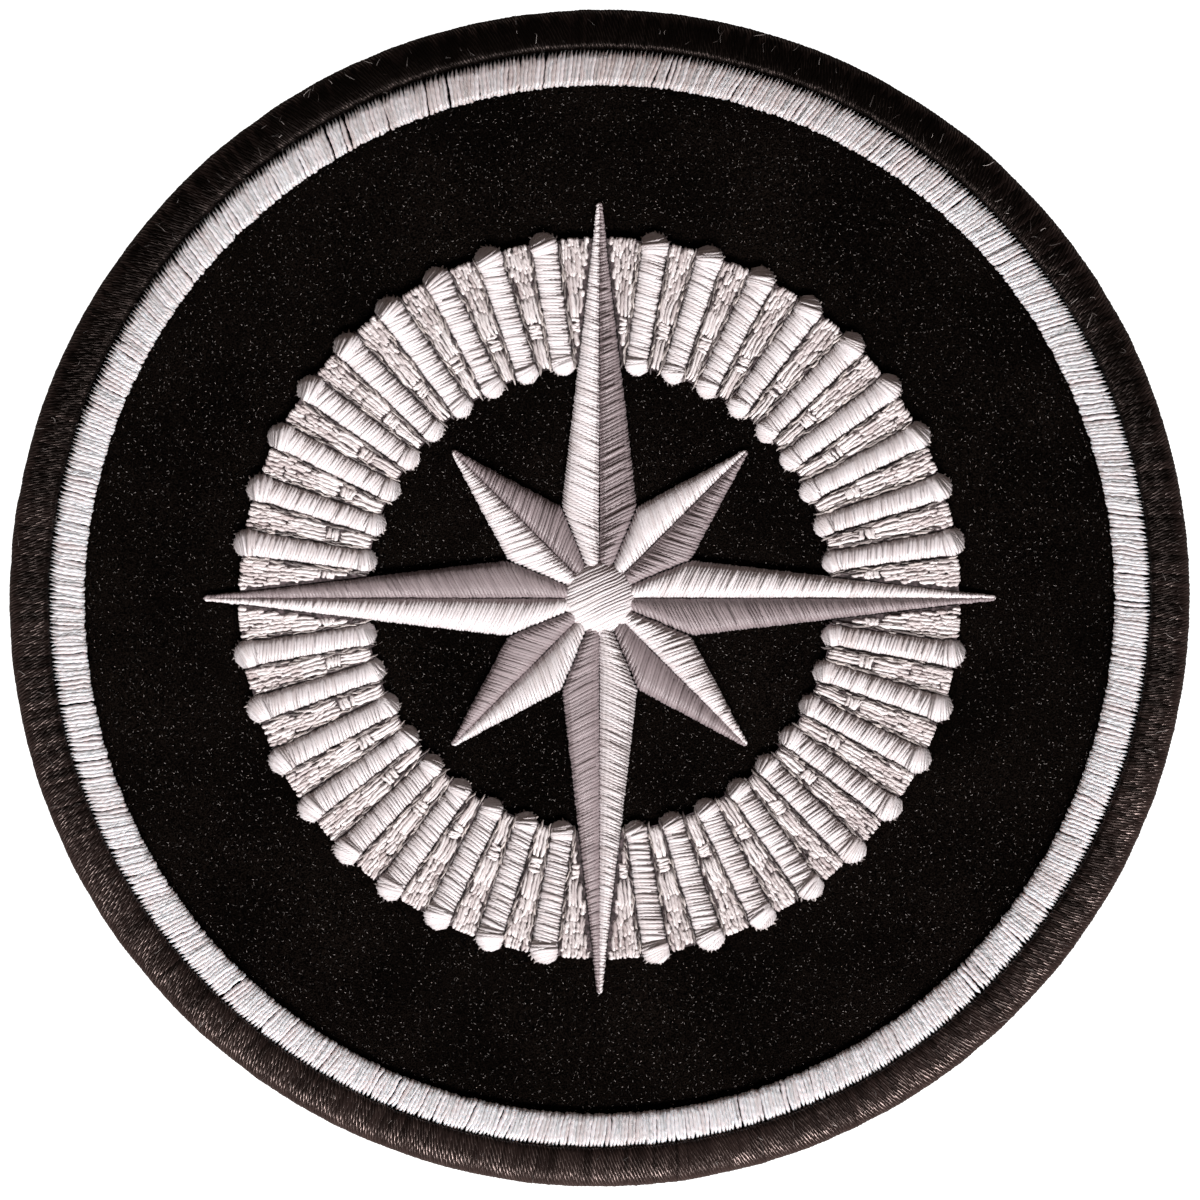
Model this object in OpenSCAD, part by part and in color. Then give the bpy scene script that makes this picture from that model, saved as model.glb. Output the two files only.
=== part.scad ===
// Round embroidered patch for clothing: velvet cloth in a thick sewn border, a raised ring,
// and a compass rose inside a band of raised ribs. It lies face up, with its back on z = 0.

/* [Patch] */
// Diameter over the border
patch_d = 100; // [95:1:115]
// Velvet cloth with its stiff backing, from the back to the top of the pile
cloth_t = 1.5; // [1.4:0.1:2]

/* [Border] */
// Width of the border, seen from above
border_w = 3.2; // [3:0.1:4]
// Height of the border, from the back to its crest
border_t = 2.3; // [2.2:0.1:2.8]
// How far the crest of the border lies inwards of its middle
border_skew = 0.8; // [0:0.1:1]
// Thickness of the cloth's edge where the border grips it
tongue_t = 0.6; // [0.4:0.1:0.7]
// How far the border reaches over the back of the cloth
lip_w = 2.6; // [2:0.1:2.8]

/* [Ring] */
// Width of the raised ring next to the border
ring_w = 2.8; // [2:0.1:3.2]
// Height of the ring above the pile
ring_h = 0.5; // [0.4:0.05:0.9]
// How far the crest of the ring lies inwards of its middle
ring_skew = 0.5; // [0:0.05:0.6]

/* [Ribs] */
// Places round the band, four of which the long rays take
rib_places = 40; // [32:4:40]
// Radius at the middle of each rib's inner knob
rib_in = 20.3; // [19.5:0.1:22]
// Radius at the middle of each rib's outer knob
rib_out = 30.2; // [28:0.1:31]
// Half the width of a rib at its inner end
rib_r_in = 0.85; // [0.7:0.05:0.95]
// Half the width of a rib at its outer end
rib_r_out = 1.05; // [0.9:0.05:1.2]
// How much fatter the knobs are than the rib, on each side
knob_extra = 0.12; // [0.05:0.01:0.2]
// How deep the middle line of a rib lies under the top of the pile
rib_sink = 0.2; // [0.1:0.05:0.3]

/* [Fill between the ribs] */
// Thickness of the underlay that runs beneath the ribs
underlay_t = 0.15; // [0.1:0.05:0.2]
// Height of the panels between the ribs above the pile
fill_h = 0.45; // [0.3:0.05:0.5]
// Distance from a knob's middle to the near edge of the panels
fill_inset = 0.4; // [0:0.1:1]

/* [Rose] */
// Radius of the four long points
long_tip = 33.6; // [32:0.1:36]
// Radius of the four short points
short_tip = 17.6; // [14:0.1:18]
// Radius of the notches between the points
notch_r = 8.5; // [7:0.1:9]
// Height of the half points above the pile
ray_h = 0.8; // [0.5:0.05:1]
// Radius of the round hub in the middle
hub_r = 3; // [2.5:0.1:3.5]
// Height of the hub above the pile
hub_h = 1.1; // [0.8:0.05:1.3]

/* [Hidden] */
$fn = 96;
// Gap left between neighbours that don't bear on each other
gap = 0.1;
patch_r = patch_d / 2;

// The border, a flattened loop gripping the cloth's edge in a slot
border_in = patch_r - border_w;
slot_z = 0.55;
slot_r = patch_r - 1;
lip_r = patch_r - lip_w;
loop_power = 2.3;
loop_step = 10;

// The ring, close inside the border
ring_out = border_in - gap;
ring_mid = ring_out - ring_w / 2;
dome_power = 2.3;
dome_points = 16;

// Ribs and the panels between them
step = 360 / rib_places;
quarter = rib_places / 4;
ribs = rib_places - 4;
fill_in = rib_in - fill_inset;
fill_out = rib_out + fill_inset;
rib_spread = (rib_r_out - rib_r_in) / (rib_out - rib_in);
// Where the wedges between the ribs start and end, well past both edges of the band
wedge_in = fill_in * 0.9;
wedge_out = fill_out * 1.05;
panel_tip = fill_out * 1.06;
quarter_tip = fill_out * 1.6;

// The rose has eight points, long ones first in each pair, named by their direction
RAYS = ["e", "ne", "n", "nw", "w", "sw", "s", "se"];
SHADES = ["light", "dark"];
QUARTERS = ["ne", "nw", "sw", "se"];
ray_step = 360 / len(RAYS);
notch_x = notch_r * cos(ray_step / 2);
notch_y = notch_r * sin(ray_step / 2);
ray_sections = 6;
// Height of a ray of no width, and how much it rises with its width
ray_thin = 0.15;
ray_rise = 0.45;
// Half the width of a ray at its blunt tip
tip_half = 0.12;

THREAD_WHITE = [0.86, 0.83, 0.84];
THREAD_LILAC = [0.55, 0.51, 0.53];
THREAD_GREY = [0.7, 0.67, 0.68];
THREAD_BLACK = [0.11, 0.085, 0.08];
PILE_BLACK = [0.05, 0.04, 0.035];

function two_digits(n) = n < 10 ? str("0", n) : str(n);
function rib_name(i) = str("rib_", two_digits(i + 1));
function ray_name(r, s) = str("ray_", RAYS[r], "_", SHADES[s]);
function fill_name(q) = str("fill_", QUARTERS[q]);

// Place of rib i round the band, with the places of the long rays left free
function rib_place(i) = i + 1 + floor(i / (quarter - 1));

// Sign of v times |v| to the power p
function signed_pow(v, p) = sign(v) * pow(abs(v), p);

// Points of a flattened loop, or of the part of it from angle a0 to angle a1, with its crest
// pushed back by skew
function oval(half_w, half_t, power, a0, a1, n, skew = 0) = [
    for (i = [0 : n])
        let (a = a0 + (a1 - a0) * i / n, across = signed_pow(cos(a), 2 / power))
        [half_w * across - skew * (1 - abs(across)), half_t * signed_pow(sin(a), 2 / power)]
];

// The point x along and y beside a line from the centre at angle a
function turned(x, y, a) = [x * cos(a) - y * sin(a), x * sin(a) + y * cos(a)];

// Half the width of a ray with this tip at the distance x along it, clear of the next ray
function ray_half(x, tip) =
    x < notch_x
        ? x * notch_y / notch_x - gap
        : tip_half + (notch_y - gap - tip_half) * (tip - x) / (tip - notch_x);

// Half the width of what stands at a place of the band, with the gap beside it
function side(place, x) = gap
    + (place % quarter == 0 ? ray_half(x, long_tip) : rib_r_in + rib_spread * (x - rib_in));

module ground() {
    color(PILE_BLACK)
        rotate_extrude()
            polygon([
                [0, 0],
                [lip_r - gap, 0],
                [lip_r - gap, slot_z],
                [slot_r - gap, slot_z],
                [slot_r - gap, slot_z + tongue_t],
                [border_in - gap, slot_z + tongue_t],
                [border_in - gap, cloth_t],
                [0, cloth_t],
            ]);
}

module border_loop() {
    steps = 360 / loop_step - 1;
    polygon(oval(border_w / 2, border_t / 2, loop_power, 0, 360 - loop_step, steps, border_skew));
}

module border() {
    color(THREAD_BLACK)
        rotate_extrude()
            difference() {
                translate([patch_r - border_w / 2, border_t / 2])
                    border_loop();
                translate([0, slot_z - gap])
                    square([slot_r, tongue_t + 2 * gap]);
                square([lip_r, slot_z]);
            }
}

// A band or button of satin stitches, domed from edge to edge, on the pile
module dome_section(half_w, height, skew = 0) {
    polygon(oval(half_w, height, dome_power, 0, 180, dome_points, skew));
}

module ring() {
    color(THREAD_WHITE)
        rotate_extrude()
            translate([ring_mid, cloth_t])
                dome_section(ring_w / 2, ring_h, ring_skew);
}

module hub() {
    color(THREAD_WHITE)
        rotate_extrude()
            translate([0, cloth_t])
                intersection() {
                    dome_section(hub_r, hub_h);
                    square([hub_r, hub_h]);
                }
}

// The annulus of the band, from its inner to its outer edge
module band(z, h) {
    translate([0, 0, z])
        difference() {
            cylinder(h = h, r = fill_out);
            translate([0, 0, -gap])
                cylinder(h = h + 2 * gap, r = fill_in);
        }
}

// The wedge between two places of the band, its middle pushed out to mid_r past the band
module wedge(first, last, mid_r) {
    translate([0, 0, cloth_t])
        linear_extrude(fill_h)
            polygon([
                turned(wedge_in, side(first, wedge_in), first * step),
                turned(wedge_out, side(first, wedge_out), first * step),
                turned(mid_r, 0, (first + last) / 2 * step),
                turned(wedge_out, -side(last, wedge_out), last * step),
                turned(wedge_in, -side(last, wedge_in), last * step),
            ]);
}

module fill(q) {
    first = q * quarter;
    color(THREAD_GREY)
        union() {
            intersection() {
                band(cloth_t, underlay_t);
                wedge(first, first + quarter, quarter_tip);
            }
            for (place = [first : first + quarter - 1])
                intersection() {
                    band(cloth_t, fill_h);
                    wedge(place, place + 1, panel_tip);
                }
        }
}

module rib(i) {
    color(THREAD_WHITE)
        rotate([0, 0, rib_place(i) * step])
            difference() {
                translate([rib_in, 0, cloth_t - rib_sink])
                    union() {
                        rotate([0, 90, 0])
                            cylinder(h = rib_out - rib_in, r1 = rib_r_in, r2 = rib_r_out);
                        sphere(r = rib_r_in + knob_extra);
                        translate([rib_out - rib_in, 0, 0])
                            sphere(r = rib_r_out + knob_extra);
                    }
                translate([0, -patch_r, -cloth_t])
                    cube([patch_r, patch_d, 2 * cloth_t]);
                band(cloth_t - gap, underlay_t + gap);
            }
}

// Half a point of the rose, as sections across it, each a row of dome points
module ray_half_solid(tip) {
    start = hub_r + gap;
    xs = concat([start], [
        for (i = [0 : ray_sections])
            notch_x + (tip - notch_x) * i / ray_sections
    ]);
    last = len(xs) - 1;
    n = dome_points / 2;
    points = [
        for (x = xs)
            let (w = ray_half(x, tip) - gap / 2, h = min(ray_h, ray_thin + w * ray_rise))
            for (p = oval(w / 2, h, dome_power, 180, 0, n))
                [x, gap / 2 + w / 2 + p.x, p.y]
    ];
    tops = [
        for (k = [0 : last - 1])
            for (j = [0 : n - 1])
                let (a = k * (n + 1) + j, b = a + n + 1)
                each [[a, a + 1, b + 1], [a, b + 1, b]]
    ];
    bottoms = [
        for (k = [0 : last - 1])
            let (a = k * (n + 1), b = a + n + 1)
            each [[a, b, b + n], [a, b + n, a + n]]
    ];
    ends = [
        [for (j = [n : -1 : 0]) j],
        [for (j = [0 : n]) last * (n + 1) + j],
    ];
    polyhedron(points, concat(tops, bottoms, ends));
}

module ray(r, s) {
    color(s == 0 ? THREAD_WHITE : THREAD_LILAC)
        translate([0, 0, cloth_t])
            rotate([0, 0, r * ray_step])
                mirror([0, s, 0])
                    ray_half_solid(r % 2 == 0 ? long_tip : short_tip);
}

ground();
border();
ring();
hub();
for (q = [0 : 3])
    fill(q);
for (r = [0 : len(RAYS) - 1])
    for (s = [0, 1])
        ray(r, s);
for (i = [0 : ribs - 1])
    rib(i);
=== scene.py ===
from functools import partial
from math import cos, pi, radians, sin, tan

import bpy
import numpy as np
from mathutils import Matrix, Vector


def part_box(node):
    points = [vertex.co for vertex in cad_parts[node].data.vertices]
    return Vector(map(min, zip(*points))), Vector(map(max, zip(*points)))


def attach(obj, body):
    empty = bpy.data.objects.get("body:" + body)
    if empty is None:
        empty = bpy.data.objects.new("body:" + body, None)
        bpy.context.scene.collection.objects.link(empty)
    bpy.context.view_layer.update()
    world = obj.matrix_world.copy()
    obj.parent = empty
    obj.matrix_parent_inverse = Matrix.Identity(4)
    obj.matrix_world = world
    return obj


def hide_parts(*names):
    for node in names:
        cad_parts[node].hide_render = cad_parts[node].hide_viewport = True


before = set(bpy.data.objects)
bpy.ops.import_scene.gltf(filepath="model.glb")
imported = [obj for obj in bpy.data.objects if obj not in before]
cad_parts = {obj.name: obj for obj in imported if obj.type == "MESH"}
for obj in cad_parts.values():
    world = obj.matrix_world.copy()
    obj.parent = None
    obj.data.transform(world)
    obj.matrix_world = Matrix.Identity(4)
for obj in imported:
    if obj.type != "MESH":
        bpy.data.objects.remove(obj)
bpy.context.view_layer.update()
print("frame loaded:", len(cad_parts), "nodes")

mm = 0.001
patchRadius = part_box("border")[1].x
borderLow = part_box("border")[0].z
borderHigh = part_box("border")[1].z
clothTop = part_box("ring")[0].z
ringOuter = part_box("ring")[1].x
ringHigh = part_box("ring")[1].z
domePower = 2.3


# Node helpers: a value may be a plain number or the socket that feeds it
def addNode(tree, kind, values=None, **settings):
    node = tree.nodes.new(kind)
    for name, value in settings.items():
        setattr(node, name, value)
    for name, value in (values or {}).items():
        if isinstance(value, bpy.types.NodeSocket):
            tree.links.new(value, node.inputs[name])
        else:
            node.inputs[name].default_value = value
    return node


def geometryNode(tree, kind, values=None, **settings):
    return addNode(tree, "GeometryNode" + kind, values, **settings).outputs[0]


def calc(tree, operation, a, b=0.0):
    return addNode(tree, "ShaderNodeMath", {0: a, 1: b}, operation=operation).outputs[0]


# Operations on one tree, as functions of their values
def operations(tree, *names):
    return [partial(calc, tree, name) for name in names]


def calcVector(tree, operation, a, b):
    second = "Scale" if operation == "SCALE" else 1
    return addNode(tree, "ShaderNodeVectorMath", {0: a, second: b}, operation=operation).outputs[0]


def joinVector(tree, x, y, z):
    return addNode(tree, "ShaderNodeCombineXYZ", {0: x, 1: y, 2: z}).outputs[0]


def ramp(tree, value, fromLow, fromHigh, toLow, toHigh, kind="SMOOTHSTEP"):
    limits = {"Value": value, "From Min": fromLow, "From Max": fromHigh, "To Min": toLow, "To Max": toHigh}
    return addNode(tree, "ShaderNodeMapRange", limits, interpolation_type=kind).outputs[0]


def noiseAt(tree, where, scale, detail):
    values = {"Vector": where, "Scale": scale, "Detail": detail}
    return addNode(tree, "ShaderNodeTexNoise", values).outputs[0]


def mixColour(tree, share, first, second):
    return addNode(tree, "ShaderNodeMix", {0: share, 6: first, 7: second}, data_type="RGBA").outputs[2]


# An input is given by its default value, or by the kind of its socket if it has none
def startTree(name, kind, inputs, outputs):
    tree = bpy.data.node_groups.new(name, kind)
    kinds = {int: "Int", float: "Float", tuple: "Color"}
    for label, value in inputs.items():
        socket = kinds.get(type(value), value)
        item = tree.interface.new_socket(name=label, in_out="INPUT", socket_type="NodeSocket" + socket)
        if socket != value:
            item.default_value = value
    for label, socket in outputs.items():
        tree.interface.new_socket(name=label, in_out="OUTPUT", socket_type="NodeSocket" + socket)
    return tree, tree.nodes.new("NodeGroupInput").outputs, tree.nodes.new("NodeGroupOutput").inputs


# The end of a geometry tree: real geometry in the given material
def endTree(tree, geometry, given, result):
    geometry = geometryNode(tree, "RealizeInstances", {"Geometry": geometry})
    geometry = geometryNode(tree, "SetMaterial", {"Geometry": geometry, "Material": given["Material"]})
    tree.links.new(geometry, result["Geometry"])
    return tree


# A random value for each thread
def perThread(tree, seed, shift, low, high):
    thread = addNode(tree, "GeometryNodeCurveOfPoint").outputs["Curve Index"]
    drawn = {2: low, 3: high, "ID": thread, "Seed": calc(tree, "ADD", seed, shift)}
    return addNode(tree, "FunctionNodeRandomValue", drawn, data_type="FLOAT").outputs[1]


def keepAs(tree, geometry, name, value):
    kept = {"Geometry": geometry, "Name": name, "Value": value}
    return geometryNode(tree, "StoreNamedAttribute", kept, data_type="FLOAT", domain="POINT")


def namedValue(tree, name):
    return geometryNode(tree, "InputNamedAttribute", {"Name": name}, data_type="FLOAT")


# Every loose edge of the source mesh is one stitch. The tree bends it into an arch or a loop
# over the padding, lets it wander, and sweeps a flat thread along it.
path = {
    "points": 41,  # on a stitch while it is bent
    "noiseGain": 3.0,
    "fadePowers": (9.0, 8.0),  # how quickly the fades at the start and at the end die away
}


def makeThreadTree():
    tree, given, result = startTree("stitchedThreads", "GeometryNodeTree", {
        "Geometry": "Geometry",
        "Segments": 12,
        "Sides": 4,
        "Width": 0.36 * mm,
        "Flatness": 0.55,
        "Ply Pitch": 60 * mm,
        "Loose Turn": 0.2,
        "Start Angle": pi,
        "End Angle": 0.0,
        "Roundness": 0.87,
        "Skew": 0.0,
        "Start Taper": 0.6,
        "Start Share": 0.2,
        "End Taper": 0.6,
        "End Share": 0.2,
        "Start Fade": 0.0,
        "End Fade": 0.0,
        "Crown Spread": 0.08,
        "Width Spread": 0.12,
        "Swell": 0.0,
        "Swell Length": 0.6 * mm,
        "Wander": 0.06 * mm,
        "Wander Size": 0.9 * mm,
        "Seed": 1,
        "Material": "Material",
    }, {"Geometry": "Geometry"})
    add, subtract, multiply, divide = operations(tree, "ADD", "SUBTRACT", "MULTIPLY", "DIVIDE")
    power, sine, absolute, sign = operations(tree, "POWER", "SINE", "ABSOLUTE", "SIGN")
    seed = given["Seed"]
    curve = geometryNode(tree, "MeshToCurve", {0: given["Geometry"]})
    curve = geometryNode(tree, "ResampleCurve", {"Curve": curve, "Count": path["points"]})
    share = addNode(tree, "GeometryNodeSplineParameter").outputs["Factor"]
    left = subtract(1.0, share)
    along = geometryNode(tree, "InputTangent")
    half = multiply(geometryNode(tree, "SplineLength"), 0.5)

    # place on the arch, as the cosine and sine of an angle that turns from start to end
    sweep = subtract(given["End Angle"], given["Start Angle"])
    angle = add(given["Start Angle"], multiply(share, sweep))
    arch = []
    for wave in ("COSINE", "SINE"):
        value = calc(tree, wave, angle)
        size = power(absolute(value), given["Roundness"])
        arch.append(multiply(sign(value), size))
    straight = subtract(multiply(share, 2.0), 1.0)
    slide = multiply(subtract(arch[0], straight), half)
    slide = add(slide, multiply(subtract(1.0, absolute(arch[0])), given["Skew"]))
    looseness = add(1.0, multiply(perThread(tree, seed, 1, -1.0, 1.0), given["Crown Spread"]))
    lift = multiply(multiply(arch[1], namedValue(tree, "crown")), looseness)

    # neighbours wander together, so they bunch and leave slits between them
    place = geometryNode(tree, "InputPosition")
    scaled = calcVector(tree, "SCALE", place, divide(1.0, given["Wander Size"]))
    swing = multiply(subtract(noiseAt(tree, scaled, 1.0, 1.0), 0.5), path["noiseGain"])
    bow = multiply(perThread(tree, seed, 2, -0.5, 0.5), sine(multiply(share, pi)))
    stray = multiply(add(swing, bow), given["Wander"])
    up = joinVector(tree, 0.0, 0.0, 1.0)
    side = calcVector(tree, "CROSS_PRODUCT", along, up)
    curve = geometryNode(tree, "SetCurveNormal", {"Curve": curve, "Normal": side}, mode="FREE")
    offset = calcVector(tree, "SCALE", along, slide)
    for way, amount in ((up, lift), (side, stray)):
        offset = calcVector(tree, "ADD", offset, calcVector(tree, "SCALE", way, amount))
    curve = geometryNode(tree, "SetPosition", {"Geometry": curve, "Offset": offset})
    curve = geometryNode(tree, "ResampleCurve", {"Curve": curve, "Count": add(given["Segments"], 1)})

    # the flat section turns slowly with the length run
    run = addNode(tree, "GeometryNodeSplineParameter").outputs["Length"]
    turn = multiply(divide(run, given["Ply Pitch"]), 2 * pi)
    turn = add(turn, multiply(perThread(tree, seed, 3, -1.0, 1.0), given["Loose Turn"]))
    curve = geometryNode(tree, "SetCurveTilt", {"Curve": curve, "Tilt": turn})
    curve = keepAs(tree, curve, "shade", perThread(tree, seed, 4, 0.0, 1.0))
    curve = keepAs(tree, curve, "run", divide(run, mm))
    # tone changed near the start and the end of a stitch: painted shade where ends dip, painted light on the
    # rim
    fade = multiply(power(left, path["fadePowers"][0]), given["Start Fade"])
    fade = add(fade, multiply(power(share, path["fadePowers"][1]), given["End Fade"]))
    curve = keepAs(tree, curve, "fade", fade)

    # width along the thread: tapered ends, a spread between threads and a soft beat
    opening = ramp(tree, share, 0.0, given["Start Share"], given["Start Taper"], 1.0)
    closing = ramp(tree, left, 0.0, given["End Share"], given["End Taper"], 1.0)
    thick = add(1.0, multiply(perThread(tree, seed, 5, -1.0, 1.0), given["Width Spread"]))
    beat = add(divide(run, given["Swell Length"]), perThread(tree, seed, 6, 0.0, 1.0))
    thick = add(thick, multiply(sine(multiply(beat, 2 * pi)), given["Swell"]))
    reach = multiply(multiply(opening, closing), thick)
    reach = multiply(reach, multiply(given["Width"], 0.5))

    # section of the thread, whose points know where on it they lie
    profile = geometryNode(tree, "CurvePrimitiveCircle", {"Resolution": given["Sides"], "Radius": 1.0})
    spot = addNode(tree, "ShaderNodeSeparateXYZ", {0: geometryNode(tree, "InputPosition")}).outputs
    profile = keepAs(tree, profile, "sideways", spot["X"])
    profile = keepAs(tree, profile, "upright", spot["Y"])
    flat = joinVector(tree, 1.0, given["Flatness"], 1.0)
    profile = geometryNode(tree, "Transform", {"Geometry": profile, "Scale": flat})
    swept = {"Curve": curve, "Profile Curve": profile, "Scale": reach, "Fill Caps": True}
    thread = geometryNode(tree, "SetShadeSmooth", {"Geometry": geometryNode(tree, "CurveToMesh", swept)})
    return endTree(tree, thread, given, result)


# Short fibres strewn over the faces of the source, where its attribute "open" lets them
def makeFibreTree():
    tree, given, result = startTree("strewnFibres", "GeometryNodeTree", {
        "Geometry": "Geometry",
        "Density": 4e6,
        "Thickness": 0.03 * mm,
        "Shortest": 0.2 * mm,
        "Longest": 0.6 * mm,
        "Least Lean": 0.6,
        "Most Lean": 1.5,
        "Rise": 0.0,
        "Paleness": 6.0,
        "Seed": 1,
        "Material": "Material",
    }, {"Geometry": "Geometry"})
    add, multiply, power = operations(tree, "ADD", "MULTIPLY", "POWER")

    def perFibre(shift, low, high):
        drawn = {2: low, 3: high, "Seed": add(given["Seed"], shift)}
        return addNode(tree, "FunctionNodeRandomValue", drawn, data_type="FLOAT").outputs[1]

    density = multiply(namedValue(tree, "open"), given["Density"])
    strewn = {"Mesh": given["Geometry"], "Density": density, "Seed": given["Seed"]}
    points = geometryNode(tree, "DistributePointsOnFaces", strewn)
    # a random paleness for each fibre: the few pale ones are partly lint, partly painted glints
    points = keepAs(tree, points, "shade", power(perFibre(1, 0.0, 1.0), given["Paleness"]))
    lift = joinVector(tree, 0.0, 0.0, given["Rise"])
    points = geometryNode(tree, "SetPosition", {"Geometry": points, "Offset": lift})
    cone = {"Vertices": 3, "Radius Top": 0.0, "Radius Bottom": given["Thickness"], "Depth": 1.0}
    fibre = geometryNode(tree, "MeshCone", cone)
    lean = perFibre(2, given["Least Lean"], given["Most Lean"])
    lean = joinVector(tree, lean, 0.0, perFibre(3, 0.0, 2 * pi))
    turned = addNode(tree, "FunctionNodeEulerToRotation", {"Euler": lean}).outputs[0]
    size = joinVector(tree, 1.0, 1.0, perFibre(4, given["Shortest"], given["Longest"]))
    fibres = {"Points": points, "Instance": fibre, "Rotation": turned, "Scale": size}
    return endTree(tree, geometryNode(tree, "InstanceOnPoints", fibres), given, result)


threadTree = makeThreadTree()
fibreTree = makeFibreTree()


def link(obj):
    bpy.context.scene.collection.objects.link(obj)
    return obj


def tellSize(obj):
    print(obj.name, "triangles:", sum(len(face.vertices) - 2 for face in obj.data.polygons))


# Runs a tree on an object and leaves the plain mesh that comes out of it
def grow(obj, tree, values):
    modifier = obj.modifiers.new("growth", "NODES")
    modifier.node_group = tree
    for item in tree.interface.items_tree:
        if item.item_type == "SOCKET" and item.in_out == "INPUT" and item.name in values:
            modifier[item.identifier] = values[item.name]
    graph = bpy.context.evaluated_depsgraph_get()
    shown = obj.evaluated_get(graph)
    grown = bpy.data.meshes.new_from_object(shown, preserve_all_data_layers=True, depsgraph=graph)
    obj.modifiers.remove(modifier)
    obj.data = grown
    grown.name = obj.name
    tellSize(obj)
    return obj


# Stitches as loose edges, with the height and the tone of each
def stitchObject(name, starts, ends, crowns, tones):
    count = len(starts)
    points = np.empty((2 * count, 3))
    points[0::2] = starts
    points[1::2] = ends
    mesh = bpy.data.meshes.new(name)
    mesh.from_pydata(points.tolist(), [(2 * i, 2 * i + 1) for i in range(count)], [])
    for label, values in (("crown", crowns), ("tone", tones)):
        attribute = mesh.attributes.new(label, "FLOAT", "POINT")
        spread = np.repeat(np.broadcast_to(values, count), 2)
        attribute.data.foreach_set("value", spread.astype(np.float32))
    return link(bpy.data.objects.new(name, mesh))


# Sews stitches, given as their starts, ends, heights and tones
def sew(name, stitches, values):
    return [grow(stitchObject(name, *stitches), threadTree, values)]


# Joins sets of stitches into one
def joinSets(sets):
    return [np.concatenate(parts) for parts in zip(*sets)]


def archAngles(start, end):
    return {"Start Angle": radians(start), "End Angle": radians(end)}


# Points from their coordinates, any of which may be one number for all
def columns(*parts):
    return np.stack(np.broadcast_arrays(*parts), axis=1)


def polar(radius, angle, height):
    return columns(radius * np.cos(angle), radius * np.sin(angle), height)


def turnRound(points, angle):
    c, s = cos(angle), sin(angle)
    x, y, z = points.T
    return columns(x * c - y * s, x * s + y * c, z)


# Height of a dome of satin, at a share of the way from its middle to its edge
def domeHeight(across):
    return (1 - np.abs(across) ** domePower) ** (1 / domePower)


# Materials
def attribute(tree, name):
    return addNode(tree, "ShaderNodeAttribute", attribute_name=name).outputs["Fac"]


def colour(values, alpha=1.0):
    return (*values, alpha)


# Colour and relief of one thread: fine filaments along the ply, a tone for each stitch
filament = {
    "cloudSize": 1.6 * mm,
    "patchSize": 14 * mm,
    "startTurns": 7.0,  # most turns between the plies of two threads
    "crestGlint": (0.85, 1.0, 0.0, 1.0),  # how a ply's crest, a cloud and the tone drive a glint
    "cloudGlint": (0.4, 0.6, 0.2, 1.4),
    "toneGlint": (0.8, 1.0, 2.0, 0.3),
}


def makeFilamentGroup():
    tree, given, result = startTree("threadFilaments", "ShaderNodeTree", {
        "Light Colour": (0.8, 0.8, 0.8, 1),
        "Deep Colour": (0.2, 0.2, 0.2, 1),
        "Spread": 0.3,
        "Filaments": 9.0,
        "Plies": 2.0,
        "Ply Pitch": 1.1,
        "Ply Depth": 3.0,
        "Low Roughness": 0.3,
        "High Roughness": 0.55,
        "Shine": 0.5,
        "Dashes": 0.0,
    }, {"Colour": "Color", "Roughness": "Float", "Shine": "Float", "Height": "Float"})
    add, subtract, multiply, divide = operations(tree, "ADD", "SUBTRACT", "MULTIPLY", "DIVIDE")
    sine, absolute = operations(tree, "SINE", "ABSOLUTE")
    where = addNode(tree, "ShaderNodeTexCoord").outputs["Object"]
    cloudy = noiseAt(tree, where, 1 / filament["cloudSize"], 3.0)
    patchy = noiseAt(tree, where, 1 / filament["patchSize"], 2.0)
    spot = subtract(add(cloudy, patchy), 1.0)
    stitch = subtract(attribute(tree, "shade"), 0.5)
    # the fade carries painted shade and painted light near the ends of stitches
    uneven = add(multiply(add(stitch, spot), given["Spread"]), attribute(tree, "fade"))
    tone = addNode(tree, "ShaderNodeClamp", {0: add(attribute(tree, "tone"), uneven)}).outputs[0]
    around = calc(tree, "ARCTAN2", attribute(tree, "upright"), attribute(tree, "sideways"))
    turned = divide(attribute(tree, "run"), given["Ply Pitch"])
    turned = add(turned, multiply(attribute(tree, "shade"), filament["startTurns"]))
    turned = add(around, multiply(turned, 2 * pi))
    wave = sine(multiply(turned, given["Filaments"]))
    crest = absolute(sine(multiply(turned, multiply(given["Plies"], 0.5))))
    plies = multiply(crest, given["Ply Depth"])
    lit = multiply(ramp(tree, crest, *filament["crestGlint"]), ramp(tree, cloudy, *filament["cloudGlint"]))
    lit = multiply(lit, ramp(tree, tone, *filament["toneGlint"]))
    lit = multiply(subtract(lit, 1.0), given["Dashes"])
    tree.links.new(multiply(add(1.0, lit), given["Shine"]), result["Shine"])
    tree.links.new(mixColour(tree, tone, given["Light Colour"], given["Deep Colour"]), result["Colour"])
    rough = ramp(tree, cloudy, 0.3, 0.7, given["Low Roughness"], given["High Roughness"], "LINEAR")
    tree.links.new(rough, result["Roughness"])
    tree.links.new(add(wave, plies), result["Height"])
    return tree


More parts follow.
